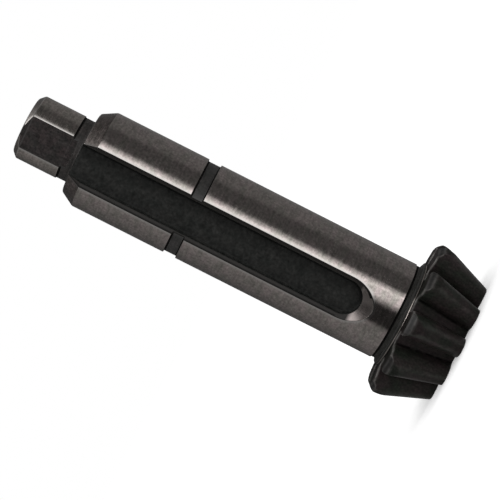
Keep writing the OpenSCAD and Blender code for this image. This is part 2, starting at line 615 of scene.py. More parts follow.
    def flat_section(self, row: Row) -> list[Point]:
        """Section of the flat, or of the plain round surface where there is neither slot nor flat.

        Args:
            row: Height, radius and wear of the section.

        Returns:
            Distance, height and wear of each point, as many as across the slot.
        """
        r, height = row.r, self.flat.surface(row.z)
        cut = row.z > self.flat.start_z and height < r - self.least_flat
        rim = math.sqrt(r ** 2 - height ** 2) if cut else self.plain_half
        soft = min(self.rim_round, rim / 4)
        points = []
        for distance in spread([0, rim - soft], [self.inside_steps]):
            points.append((distance, height if cut else math.sqrt(r ** 2 - distance ** 2), row.wear))
        beyond = rim + soft
        corner, land = (rim, math.sqrt(r ** 2 - rim ** 2)), (beyond, math.sqrt(r ** 2 - beyond ** 2))
        points += self.rounded_rim(points[-1], corner, land)
        for distance in spread([beyond, r * math.sin(self.box_angle)], [self.land_steps]):
            points.append((distance, math.sqrt(r ** 2 - distance ** 2), self.wear_beyond(distance - beyond)))
        return points if cut else [(distance, height, row.wear) for distance, height, _ in points]

    def in_slot(self, row: Row) -> bool:
        """Whether the slot cuts a row."""
        return row.z <= self.nose_face and row.r > self.slot.floor_height + self.least_slot

    def cut_row(self, skin: Skin, row: Row) -> list[int]:
        """Adds one row of points that passes over the slot or the flat, from +Y round to +Y.

        Args:
            skin: The mesh that takes the points.
            row: Its height, radius and wear.

        Returns:
            The numbers of the points.
        """
        inside = self.inside_steps if self.in_slot(row) else 0
        if inside:
            section = self.half_section(row.r, 1.0, row.r * math.sin(self.box_angle))
            middle = self.slot.floor_height
        else:
            section = self.flat_section(row)
            middle = section[0][1] if row.z > self.flat.start_z else row.r
        half = [(x, -height, row.z) for x, height, _ in section]
        half += [polar(row.r, a, row.z) for a in self.back[:-1]]
        mirrored = [(-x, y, z) for x, y, z in reversed(half)]
        points = [polar(row.r, math.pi, row.z), *mirrored, (0, -middle, row.z), *half]
        wear = [value if i < inside else max(value, row.wear) for i, (_, _, value) in enumerate(section)]
        wear += [row.wear] * (self.back_columns - 1)
        # On the -X half the painted shade at the floor and the wall's foot is weaker.
        other = self.slot.turned(wear, -1.0) if inside else wear
        return skin.add(points, [row.wear, *reversed(other), 0.0 if inside else row.wear, *wear])

    def cut_zones(self, row: Row) -> list[Zone]:
        """Finish of each face above a row that passes over a cut.

        Args:
            row: The row.

        Returns:
            One finish for each face, in the order of the row's points.
        """
        inside = self.inside_steps + self.rim_steps - 1
        if self.in_slot(row):
            walls = self.slot.wall_faces
            bevel = self.inside_steps - 1 - walls
            # A painted shade line runs along the slot's rim.
            cut = [Zone.SLOT] * walls + [Zone.RIM] * bevel + [Zone.SHADE] * self.rim_steps
        else:
            cut = [Zone.FLAT if row.z >= self.flat.start_z + self.flat.run_out / 2 else row.zone] * inside
        half = cut + [row.zone] * (self.half_steps - inside + self.back_columns)
        return [*reversed(half), *half]

    def plain_row(self, skin: Skin, row: Row) -> list[int]:
        """Adds one full circle of points below the slot's end, from +Y round to +Y.

        Args:
            skin: The mesh that takes the points.
            row: Its height, radius and wear.

        Returns:
            The numbers of the points.
        """
        half = [*spread([0, self.box_angle], [self.bottom_columns]), *self.back[:-1]]
        angles = [-math.pi, *[-a for a in reversed(half)], 0, *half]
        return skin.add([polar(row.r, a, row.z) for a in angles], row.wear)

    def round_end(self, skin: Skin, bottom: list[int], top: list[int]) -> None:
        """Fills the stretch around the slot's round end, between a plain row and a cut row.

        Args:
            skin: The mesh that takes the points and faces.
            bottom: Plain row at the bottom of the stretch.
            top: Cut row that passes through the middle of the round end.
        """
        count, columns = self.half_steps, self.bottom_columns
        box_x = self.journal_r * math.sin(self.box_angle)
        heights = spread([self.box_bottom, self.slot.end_z], [self.side_rows])[:-1]
        turns = [self.box_angle, *self.back]
        turns += [-turn for turn in reversed(turns[:-1])]
        sides = [skin.add([polar(self.journal_r, a, z) for a in turns]) for z in heights]
        low, high = len(bottom) // 2, len(top) // 2
        rows = [bottom[low + columns:] + bottom[:low - columns + 1], *sides]
        rows.append(top[high + count:] + top[:high - count + 1])
        for lower, upper in zip(rows, rows[1:]):
            skin.strip(lower, upper, Zone.GROUND, closed=False)
        targets = [(ids[0], box_x, z) for ids, z in zip(reversed(sides), reversed(heights))]
        for k in range(columns, -columns - 1, -1):
            x = self.journal_r * math.sin(self.box_angle * k / columns)
            targets.append((bottom[low + k], x, self.box_bottom))
        targets += [(ids[-1], -box_x, z) for ids, z in zip(sides, heights)]
        rays = [top[high + 1:high + count + 1]]
        rays += [self.ray(skin, *target) for target in targets]
        rays.append(top[high - count:high][::-1])
        self.fan(skin, top[high], rays)

    def fan(self, skin: Skin, middle: int, rays: list[list[int]]) -> None:
        """Joins the rays of the round end, with a painted shade line along its rim on the +X side that
        tapers off.

        Args:
            skin: The mesh that takes the faces.
            middle: The point that the rays leave from.
            rays: Points of each ray from the innermost out, clockwise from +X.
        """
        walls = [Zone.SLOT] * (self.slot.wall_faces - 1)
        walls += [Zone.RIM] * (self.inside_steps - 1 - self.slot.wall_faces)
        land = [Zone.GROUND] * (self.land_steps + 1)
        for i, (here, after) in enumerate(zip(rays, rays[1:])):
            dark = min(self.rim_steps, max(0, (self.shade_rays - i) // 2))
            rim = [Zone.RIM] * (self.rim_steps - dark) + [Zone.SHADE] * dark
            skin.strip(after, here, [*walls, *rim, *land], closed=False)
            skin.face([middle, after[0], here[0]], Zone.SLOT)

    def ray(self, skin: Skin, last: int, x: float, z: float) -> list[int]:
        """Adds the points from the middle of the round end out to a point that is already there.

        Args:
            skin: The mesh that takes the points.
            last: Number of the outermost point.
            x: Its place across.
            z: Its height.

        Returns:
            Numbers of the points from the innermost out.
        """
        drop = self.slot.end_z - z
        reach = math.hypot(x, drop)
        share, down = x / reach, drop / reach
        section = self.half_section(self.journal_r, abs(share), reach)[:-1]
        points = [(d * share, -height, self.slot.end_z - d * down) for d, height, _ in section]
        # Painted shade at the wall's foot weakens where the round end faces -X, and painted shade on the
        # bevel stays only where it turns towards +X.
        wear = self.slot.turned([value for _, _, value in section], share)
        rim = clamp((share - down) / self.rim_turn + 0.5)
        bevel = slice(self.slot.foot, self.inside_steps)
        wear[bevel] = [value * rim for value in wear[bevel]]
        return [*skin.add(points, wear), last]

    def build(self, skin: Skin) -> tuple[list[int], list[int]]:
        """Adds the whole shaft.

        Args:
            skin: The mesh that takes the points and faces.

        Returns:
            The lowest row, next to the back of the teeth, and the highest row, on the end of the stub.
        """
        low_rows = profile_rows(self.low_corners(), self.low_step)
        lows = [self.plain_row(skin, row) for row in low_rows]
        for row, low, high in zip(low_rows, lows, lows[1:]):
            skin.strip(low, high, row.zone)
        high_rows = profile_rows(self.high_corners(), self.high_step)
        highs = [self.cut_row(skin, row) for row in high_rows]
        for row, low, high in zip(high_rows, highs, highs[1:]):
            skin.strip(low, high, self.cut_zones(row))
        self.round_end(skin, lows[-1], highs[0])
        return lows[0], highs[-1]


@dataclass
class LatheCentre:
    """The 60 degree centre in an end of the part, with its pilot hole."""

    mouth_r: float = 2.5
    pilot_r: float = 1.0
    pilot_length: float = 2.4
    point_depth: float = 0.58
    cone: float = math.tan(math.radians(60))
    edge: float = 0.15
    edge_drop: float = 0.35
    edge_sag: float = 0.1
    soft: float = 0.05
    point_share: float = 0.96

    def profile(self) -> list[tuple[float, float, float]]:
        """Radius, depth and wear of each ring from the mouth in.

        Returns:
            The rings, from the mouth to the end of the pilot.
        """
        depth = (self.mouth_r - self.pilot_r) * self.cone
        return [
            (self.mouth_r + self.edge, 0.0, 0.0),
            (self.mouth_r, self.edge * self.edge_drop, 1.0),
            (self.mouth_r - self.edge / 2, self.edge * (self.cone / 2 + self.edge_sag), 0.0),
            (self.pilot_r + self.soft, depth - self.soft * self.cone, 0.0),
            (self.pilot_r, depth, 0.5),
            (self.pilot_r, depth + 2 * self.soft, 0.0),
            (self.pilot_r, depth + self.pilot_length, 0.0),
            (self.pilot_r * self.point_share, depth + self.pilot_length + self.soft, 0.0),
        ]

    def build(self, skin: Skin, angles: list[float], end_z: float, up: bool) -> list[int]:
        """Adds the hole.

        Args:
            skin: The mesh that takes the points and faces.
            angles: Angle of each column from -Y, counter-clockwise from above.
            end_z: Height of the face that the hole opens in.
            up: Whether the hole opens upwards.

        Returns:
            The ring around the mouth, in the order of the angles.
        """
        sense = -1 if up else 1
        profile = self.profile()
        rings = []
        for r, depth, wear in profile:
            rings.append(skin.add([polar(r, a, end_z + sense * depth) for a in angles], wear))
        for outer, inner in zip(rings, rings[1:]):
            low, high = (outer, inner) if up else (inner, outer)
            skin.strip(low, high, Zone.TURNED)
        tip = skin.add([(0, 0, end_z + sense * (profile[-1][1] + self.point_depth))])[0]
        skin.cap(rings[-1], tip, Zone.TURNED, up)
        return rings[0]


@dataclass
class BevelTeeth:
    """Ten straight bevel teeth, whose lines all meet in one apex below the small end."""

    count: int = 10
    mate_count: int = 30
    module: float = 2.54
    pressure: float = math.radians(20)
    thickness: float = 4.7
    addendum: float = 2.5
    dedendum: float = 2.7
    root_fillet: float = 0.7
    tip_round: float = 0.75
    length: float = 11.5
    fall: float = 0.3
    bevel_length: float = 1.1
    bevel_height: float = 1.0
    band: float = 1.6
    fall_start: float = 10.137
    phase: float = math.radians(8.6)
    toe_round: float = 0.2
    heel_round: float = 0.6
    crown_blend: float = 0.3
    crown_inset: float = 0.15
    before_front: float = 0.8
    past_front: float = 0.4
    round_bevel: float = 0.25
    root_steps: int = 3
    fillet_steps: int = 8
    flank_steps: int = 22
    edge_steps: int = 6
    land_steps: int = 3
    toe_steps: int = 5
    heel_steps: int = 7
    body_steps: tuple[int, ...] = (7, 6, 3, 6, 3)
    tip_wear: float = 0.05
    side_wear: float = 0.75
    crown_wear: float = 0.3
    ridge_wear: float = 0.55
    ridge_lift: float = 0.1
    ridge_half: float = 0.3
    ridge_reach: float = 0.45
    clean_steps: int = 2
    land_depth: float = 0.12
    level: float = 0.01
    end_power: int = 4

    def __post_init__(self) -> None:
        """Works out the pitch cone and the radii at the front of the crown."""
        self.pitch = FULL / self.count
        self.cone = math.atan(self.count / self.mate_count)
        self.pitch_r = self.module * self.count / 2
        self.bevel_z = self.length - self.fall - self.bevel_length
        self.front_z = self.bevel_z - self.band
        self.ridge_z = self.bevel_z + self.ridge_lift
        self.cone_length = self.pitch_r / math.tan(self.cone)
        self.tip_r = self.pitch_r + self.addendum
        self.root_r = self.pitch_r - self.dedendum
        self.flat_pitch_r = self.pitch_r / math.cos(self.cone)
        self.base_r = self.flat_pitch_r * math.cos(self.pressure) * math.cos(self.cone)

    def scale(self, z: float) -> float:
        """Size of a cross-section, measured against the one at the front of the crown."""
        return (z - self.front_z + self.cone_length) / self.cone_length

    def half_tooth(self, r: float) -> float:
        """Half the angle that a tooth takes up at a radius, at the front of the crown.

        Args:
            r: The radius.

        Returns:
            The angle in radians.
        """
        opening = math.acos(min(1.0, self.base_r / r))
        flat = self.thickness / 2 / self.flat_pitch_r
        gain = math.tan(self.pressure) - self.pressure - math.tan(opening) + opening
        return (flat + gain) / math.cos(self.cone)

    def root(self) -> list[Point]:
        """Half the bottom of a space and its rounded corner, with painted shade in the corner.

        Returns:
            Radius, angle from the middle of the tooth, and wear of each point.
        """
        half_pitch = self.pitch / 2
        space = half_pitch - self.half_tooth(self.base_r)
        centre_r = self.root_r + self.root_fillet
        centre = space - math.asin(self.root_fillet / centre_r)
        points = []
        for i in range(self.root_steps):
            points.append((self.root_r, half_pitch - centre * i / self.root_steps, 0.0))
        for i in range(self.fillet_steps + 1):
            turn = (QUARTER + centre - space) * i / self.fillet_steps - QUARTER - centre
            x = centre_r * math.sin(centre) + self.root_fillet * math.cos(turn)
            y = centre_r * math.cos(centre) + self.root_fillet * math.sin(turn)
            # Painted shade in the corner of the root, kept as negative wear.
            root_shade = max(0.0, (i - self.clean_steps) / (self.fillet_steps - self.clean_steps))
            points.append((math.hypot(x, y), half_pitch - math.atan2(x, y), -math.sin(math.pi * root_shade)))
        return points

    def flank(self, start_r: float) -> list[Point]:
        """The flank above the root, the rounded edge and half the land of the tip.

        Args:
            start_r: Radius at which the root ends.

        Returns:
            Radius, angle from the middle of the tooth, and wear of each point.
        """
        end_r, tip = self.tip_r - self.tip_round, self.half_tooth(self.tip_r)
        points = [(r, self.half_tooth(r), 0.0) for r in spread([start_r, end_r], [self.flank_steps])[:-1]]
        land = tip - self.tip_round / self.tip_r
        for i in range(self.edge_steps + 1):
            t = i / self.edge_steps
            place = bend((end_r, self.half_tooth(end_r)), (self.tip_r, tip), (self.tip_r, land), t)
            points.append((*place, self.tip_wear * math.sin(math.pi * t)))
        points += [(self.tip_r, land * (1 - t), 0.0) for t in spread([0, 1], [self.land_steps])]
        return points

    def outline(self) -> Outline:
        """Whole outline at the front of the crown, counter-clockwise from before the first tooth.

        Returns:
            X and Y of each point, the direction into the steel, and the wear.
        """
        root = self.root()
        half = root + self.flank(root[-1][0])
        tooth = [(r, -a, w) for r, a, w in half] + half[-2:0:-1]
        flat = []
        for k in range(self.count):
            for r, a, w in tooth:
                x, y, _ = polar(r, self.phase + k * self.pitch + a, 0)
                flat.append((x, y, w))
        full = []
        for i, (x, y, w) in enumerate(flat):
            before, after = flat[i - 1], flat[(i + 1) % len(flat)]
            along = Vector((after[0] - before[0], after[1] - before[1])).normalized()
            full.append((x, y, -along.y, along.x, w))
        return full

    def stations(self) -> list[float]:
        """Heights of the rings of points, from the small end to the back face at the collar.

        Returns:
            Rising heights, as at the collar.
        """
        heel, bevel = self.length - self.heel_round, self.bevel_z + self.fall
        toe = [self.toe_round * (1 - math.cos(t)) for t in (0, *spread([0, QUARTER], [self.toe_steps]))]
        breaks = [self.toe_round, self.front_z - self.before_front, self.front_z + self.past_front,
                  bevel - self.round_bevel, bevel + self.round_bevel, heel]
        end = [heel + self.heel_round * math.sin(turn) for turn in spread([0, QUARTER], [self.heel_steps])]
        return toe + spread(breaks, self.body_steps) + end

    def inset(self, station: float) -> float:
        """How far the rounding of the two ends sets the outline in.

        Args:
            station: Height of the ring.

        Returns:
            The inset in millimetres.
        """
        heel = station - (self.length - self.heel_round)
        toe = self.toe_round - station
        if heel > 0:
            return self.heel_round - math.sqrt(max(self.heel_round ** 2 - heel ** 2, 0.0))
        if toe > 0:
            return self.toe_round - math.sqrt(max(self.toe_round ** 2 - toe ** 2, 0.0))
        return 0.0

    def crown_r(self, z: float, inset: float) -> float:
        """Radius of the turned crown, with its band and its bevel towards the back."""
        bevel = self.tip_r - (z - self.bevel_z) * self.bevel_height / self.bevel_length
        return blend_min(self.tip_r, bevel, self.crown_blend) - self.crown_inset * inset

    def land_r(self, z: float) -> float:
        """Radius of the tips at a height."""
        return min(self.tip_r * self.scale(z), self.crown_r(z, 0))

    def sunk(self, station: float, r: float) -> float:
        """Height of a point of a ring. Towards the back the rings take the slope of the back face.

        Args:
            station: Height of the ring at the collar.
            r: Radius of the point.

        Returns:
            The height of the point.
        """
        near = clamp((station - self.front_z) / (self.length - self.front_z))
        out = clamp((r - self.fall_start) / (self.tip_r - self.bevel_height - self.fall_start))
        return station - self.fall * near ** 2 * (3 - 2 * near) * out

    def wear(self, past: float, z: float, side: float, end: float) -> float:
        """Wear of a point.

        Args:
            past: How far the untrimmed outline stands outside the crown there.
            z: Height of the point.
            side: Wear of the outline there.
            end: Wear of the rounding of the two ends.

        Returns:
            The wear, from -1, painted shade in the roots, to 1.
        """
        if past > 0:
            ridge = clamp(1 - abs(z - self.ridge_z) / self.ridge_half)
            return max(self.crown_wear * end ** self.end_power, self.ridge_wear * ridge)
        meets = clamp(1 + past / self.ridge_reach) if z > self.ridge_z else 0.0
        wear_and_shade = max(self.side_wear * end ** self.end_power, self.ridge_wear * meets)
        return max(side, wear_and_shade) if side >= 0 else side * (1 - end) + wear_and_shade

    def ring(self, skin: Skin, outline: Outline, station: float) -> list[int]:
        """Adds the points of one ring around the teeth.

        Args:
            skin: The mesh that takes the points.
            outline: The outline at the front of the crown.
            station: Height of the ring at the collar.

        Returns:
            Their numbers, in the order of the outline.
        """
        inset = self.inset(station)
        rounding = self.heel_round if station > self.length / 2 else self.toe_round
        end_wear = math.sin(2 * math.acos(clamp(1 - inset / rounding)))
        points, wear = [], []
        for x, y, nx, ny, side in outline:
            z = self.sunk(station, math.hypot(x, y) * self.scale(station))
            size, crown = self.scale(z), self.crown_r(z, inset)
            px, py = x * size + nx * inset, y * size + ny * inset
            r = math.hypot(px, py)
            trimmed = blend_min(r, crown, self.crown_blend)
            points.append((px * trimmed / r, py * trimmed / r, z))
            wear.append(self.wear(r - crown, z, side, end_wear))
        return skin.add(points, wear)

    def zone(self, corners: list[Point]) -> Zone:
        """Finish of a face between two of its corners: crown bevel, tip land or flank.

        Args:
            corners: Two opposite corners of the face.

        Returns:
            The finish.
        """
        if any(math.hypot(x, y) < self.land_r(z) - self.land_depth for x, y, z in corners):
            return Zone.BLACK
        return Zone.BEVEL if all(z > self.bevel_z - self.level for _, _, z in corners) else Zone.LAND

    def build(self, skin: Skin) -> tuple[list[int], list[int]]:
        """Adds the teeth.

        Args:
            skin: The mesh that takes the points and faces.

        Returns:
            The rings around the small end and around the back.
        """
        outline = self.outline()
        rings = [self.ring(skin, outline, z) for z in self.stations()]
        for low, high in zip(rings, rings[1:]):
            ends = zip(low, high[1:] + high[:1])
            skin.strip(low, high, [self.zone([skin.points[a], skin.points[b]]) for a, b in ends])
        return rings[0], rings[-1]

    def close(self, skin: Skin, ring: list[int], inner: list[int], up: bool) -> None:
        """Fills an end face with one flat face for each tooth.

        Args:
            skin: The mesh that takes the faces.
            ring: Ring of the teeth at that end.
            inner: Ring that the face runs in to, counter-clockwise.
            up: Whether the face looks up.
        """
        step = len(ring) // self.count
        angles = skin.angles(inner)

        def nearest(k: float) -> int:
            """Place in the inner ring of the point nearest to a number of teeth from the first."""
            gaps = [abs(math.remainder(angle - self.phase - k * self.pitch, FULL)) for angle in angles]
            return gaps.index(min(gaps))

        for k in range(self.count):
            outer = [ring[(k * step + i) % len(ring)] for i in range(step + 1)]
            first, last = nearest(k - 0.5), nearest(k + 0.5)
            span = (last - first) % len(inner)
            inside = [inner[(first + i) % len(inner)] for i in range(span + 1)]
            corners = outer + inside[::-1]
            skin.face(corners if up else corners[::-1], Zone.BLACK)


class Graph:
    """Adds and links the nodes of one material or world."""

    def __init__(self, tree: bpy.types.NodeTree) -> None:
        """Takes the tree that gets the nodes."""
        self.tree = tree

    @cached_property
    def coordinates(self) -> Socket:
        """Object coordinates, from one node for the whole graph."""
        return self.add("ShaderNodeTexCoord").outputs["Object"]

    @property
    def shader(self) -> bpy.types.NodeInputs:
        """Inputs of the Principled shader."""
        return self.tree.nodes["Principled BSDF"].inputs

    def add(self, kind: str, **settings: object) -> bpy.types.Node:
        """Adds a node and sets its properties.

        Args:
            kind: Type of the node.
            settings: Its properties by name.

        Returns:
            The new node.
        """
        node = self.tree.nodes.new(kind)
        for name, value in settings.items():
            setattr(node, name, value)
        return node

    def put(self, value: object, socket: Socket) -> None:
        """Links a socket, or writes a plain value into it.

        Args:
            value: A socket, or a plain value.
            socket: The input that takes it.
        """
        if isinstance(value, Socket):
            self.tree.links.new(value, socket)
        else:
            socket.default_value = value

    def math(self, operation: str, *values: object) -> Socket:
        """Adds a Math node and returns its result.

        Args:
            operation: What the node does.
            values: Its inputs, in order.

        Returns:
            The result.
        """
        node = self.add("ShaderNodeMath", operation=operation)
        for value, socket in zip(values, node.inputs):
            self.put(value, socket)
        return node.outputs[0]

    def remap(self, value: object, low: float, high: float, to_low: float, to_high: float) -> Socket:
        """Maps one range to another, and holds it there.

        Args:
            value: The value to map.
            low: Start of its range.
            high: End of its range.
            to_low: Result at the start.
            to_high: Result at the end.

        Returns:
            The result.
        """
        node = self.add("ShaderNodeMapRange", clamp=True)
        for number, socket in zip((value, low, high, to_low, to_high), node.inputs):
            self.put(number, socket)
        return node.outputs[0]

    def mix(self, share: object, first: object, second: object) -> Socket:
        """Mixes two colours.

        Args:
            share: Share of the second colour.
            first: The first colour.
            second: The second colour.

        Returns:
            The mixed colour.
        """
        node = self.add("ShaderNodeMix", data_type="RGBA")
        for value, number in ((share, 0), (first, 6), (second, 7)):
            self.put(value, node.inputs[number])
        return node.outputs[2]

    def scale(self, color: object, factor: object) -> Socket:
        """Makes a colour lighter or darker by a factor.

        Args:
            color: The colour.
            factor: What it is multiplied by.

        Returns:
            The scaled colour.
        """
        node = self.add("ShaderNodeVectorMath", operation="SCALE")
        self.put(color, node.inputs[0])
        self.put(factor, node.inputs["Scale"])
        return node.outputs[0]

    def vary(self, color: object, noise: Socket, share: float) -> Socket:
        """Makes a colour lighter and darker by a share, after a noise."""
        return self.scale(color, self.remap(noise, *NOISE_RANGE, 1 - share, 1 + share))

    def noise(self, stretch: Point, detail: float = 3.0, roughness: float = 0.55) -> Socket:
        """Noise whose grains have a size of their own along each axis.

        Args:
            stretch: Size of a grain along X, Y and Z, in millimetres.
            detail: Number of finer layers.
            roughness: Strength of the finer layers.

        Returns:
            The noise, mostly from 0.3 to 0.7.
        """
        mapping = self.add("ShaderNodeMapping")
        self.put(self.coordinates, mapping.inputs["Vector"])
        self.put([1 / (s * MM) for s in stretch], mapping.inputs["Scale"])
        node = self.add("ShaderNodeTexNoise")
        self.put(mapping.outputs[0], node.inputs["Vector"])
        for name, value in (("Scale", 1.0), ("Detail", detail), ("Roughness", roughness)):
            self.put(value, node.inputs[name])
        return node.outputs["Fac"]

    def attribute(self, name: str) -> Socket:
        """Value that the mesh keeps on its points."""
        return self.add("ShaderNodeAttribute", attribute_name=name).outputs["Fac"]

    def bump(self, height: object, depth: float, before: object = None) -> Socket:
        """Turns a height from 0 to 1 into a bump of a real depth in millimetres.

        Args:
            height: The height.
            depth: What a height of 1 stands for.
            before: A normal that the bump is added to.

        Returns:
            The bumped normal.
        """
        node = self.add("ShaderNodeBump")
        self.put(depth * MM, node.inputs["Distance"])
        self.put(height, node.inputs["Height"])
        if before is not None:
            self.put(before, node.inputs["Normal"])
        return node.outputs[0]

    def seen(self) -> Socket:
        """Gives 1 for camera, glossy and transmission rays, and 0 for the rest.

        Returns:
            The 1 or 0.
        """
        rays = self.add("ShaderNodeLightPath").outputs
        seen = self.math("MAXIMUM", rays["Is Camera Ray"], rays["Is Glossy Ray"])
        return self.math("MAXIMUM", seen, rays["Is Transmission Ray"])


def new_material(name: str) -> tuple[bpy.types.Material, Graph]:
    """Makes a material, and the graph that adds nodes to it.

    Args:
        name: Name of the material.

    Returns:
        The material and its graph.
    """
    material = bpy.data.materials.new(name)
    material.use_nodes = True
    return material, Graph(material.node_tree)


@dataclass(frozen=True)
class Finish:
    """How a steel surface looks. The grain of blotches, tool marks and pits is in millimetres."""

    name: str
    color: Point
    tint: Point
    edge: Point
    roughness: float = 0.5
    spread: float = 0.06
    metallic: float = 0.0
    specular: float = 0.4
    blotch: Point = (1.6, 1.6, 1.6)
    marks: Point = (2.5, 2.5, 0.3)
    mark_depth: float = 0.003
    pit: float = 0.4
    pit_depth: float = 0.004
    grain: float = 0.4
    streak: float = 0.3
    edge_share: float = 0.8
    painted_shade_share: float = 0.25
    tint_range: tuple[float, float] = (0.36, 0.64)
    gloss_range: tuple[float, float] = (0.35, 0.65)
    gloss_marks: float = 0.6

    def wear_and_shade(self, graph: Graph) -> Socket:
        """Wear and painted shade of the surface, from the value on the mesh's points."""
        return graph.attribute("wear_and_shade")

    def metal(self, graph: Graph, wear_and_shade: Socket) -> object:
        """How metallic the surface is: one value, or a socket where it follows the wear."""
        return self.metallic

    def material(self) -> bpy.types.Material:
        """Builds the material.

        Returns:
            A new procedural material.
        """
        material, graph = new_material(self.name)
        blotch = graph.noise(self.blotch)
        marks = graph.noise(self.marks, detail=4.0, roughness=0.6)
        pits = graph.noise((self.pit, self.pit, self.pit), detail=2.0)
        wear_and_shade = self.wear_and_shade(graph)
        tinted = graph.mix(graph.remap(blotch, *self.tint_range, 0, 1), (*self.color, 1), (*self.tint, 1))
        grained = graph.vary(graph.vary(tinted, marks, self.streak), pits, self.grain)
        # Negative wear, painted shade in the tooth roots, darkens the colour.
        shaded_color = graph.scale(grained, graph.remap(wear_and_shade, -1, 0, self.painted_shade_share, 1))
        color = graph.mix(graph.remap(wear_and_shade, 0, 1, 0, self.edge_share), shaded_color, (*self.edge, 1))
        fine = graph.math("MULTIPLY", marks, self.gloss_marks)
        coarse = graph.math("MULTIPLY", blotch, 1 - self.gloss_marks)
        low, high = self.roughness - self.spread, self.roughness + self.spread
        rough = graph.remap(graph.math("ADD", fine, coarse), *self.gloss_range, low, high)
        normal = graph.bump(marks, self.mark_depth)
        if self.pit_depth > 0:
            normal = graph.bump(pits, self.pit_depth, normal)
        looks = {
            "Base Color": color,
            "Roughness": rough,
            "Metallic": self.metal(graph, wear_and_shade),
            "Specular IOR Level": self.specular,
            "Normal": normal,
        }
        for name, value in looks.items():
            graph.put(value, graph.shader[name])
        return material


@dataclass(frozen=True)
class BrightFinish(Finish):
    """Bare steel."""

    metallic: float = 1.0
    specular: float = 0.5


@dataclass(frozen=True)
class ToothFinish(Finish):
    """Blackened steel whose edges are rubbed bare in patches."""

    bare: float = 0.9
    patch: float = 1.3
    patch_range: tuple[float, float] = (0.38, 0.62)
    patch_wear: tuple[float, float] = (0.35, 1.35)

    def wear_and_shade(self, graph: Graph) -> Socket:
        """Wear and painted shade of the surface, stronger and weaker in patches.

        Args:
            graph: The graph that takes the nodes.

        Returns:
            The wear.
        """
        patches = graph.noise((self.patch, self.patch, self.patch), roughness=0.6)
        strength = graph.remap(patches, *self.patch_range, *self.patch_wear)
        return graph.math("MULTIPLY", graph.attribute("wear_and_shade"), strength)

    def metal(self, graph: Graph, wear_and_shade: Socket) -> Socket:
        """How metallic the surface is, which follows its wear."""
        return graph.remap(wear_and_shade, 0, 1, 0, self.bare)


@dataclass(frozen=True)
class RimFinish(Finish):
    """Finish of the slot's rim, which goes from black along the walls to bare steel round the end. The bare
    steel has painted shade towards +X and where the bevel carries painted shade.
    """

    bare_color: Point = (0.53, 0.466, 0.448)
    shaded_bare_color: Point = (0.208, 0.187, 0.173)
    shade_reach: float = 3.0
    fade_low: float = 20.2
    fade_high: float = 21.0
    shade_share: float = 0.3

    def material(self) -> bpy.types.Material:
        """Builds the material.

        Returns:
            A new procedural material.
        """
        material = super().material()
        graph = Graph(material.node_tree)
        place = graph.add("ShaderNodeSeparateXYZ")
        graph.put(graph.coordinates, place.inputs[0])
        low = graph.remap(place.outputs["Z"], self.fade_low * MM, self.fade_high * MM, 1, 0)
        # Painted shade: less bare steel where the bevel carries painted shade.
        share = graph.math("MULTIPLY", low, graph.remap(self.wear_and_shade(graph), 0, 1, 1, self.shade_share))
        # Painted shade: the bare steel darkens towards +X.
        across = graph.remap(place.outputs["X"], -self.shade_reach * MM, self.shade_reach * MM, 0, 1)
        bare = graph.mix(across, (*self.bare_color, 1), (*self.shaded_bare_color, 1))
        black = graph.shader["Base Color"].links[0].from_socket
        graph.put(graph.mix(share, black, bare), graph.shader["Base Color"])
        graph.put(share, graph.shader["Metallic"])
        return material


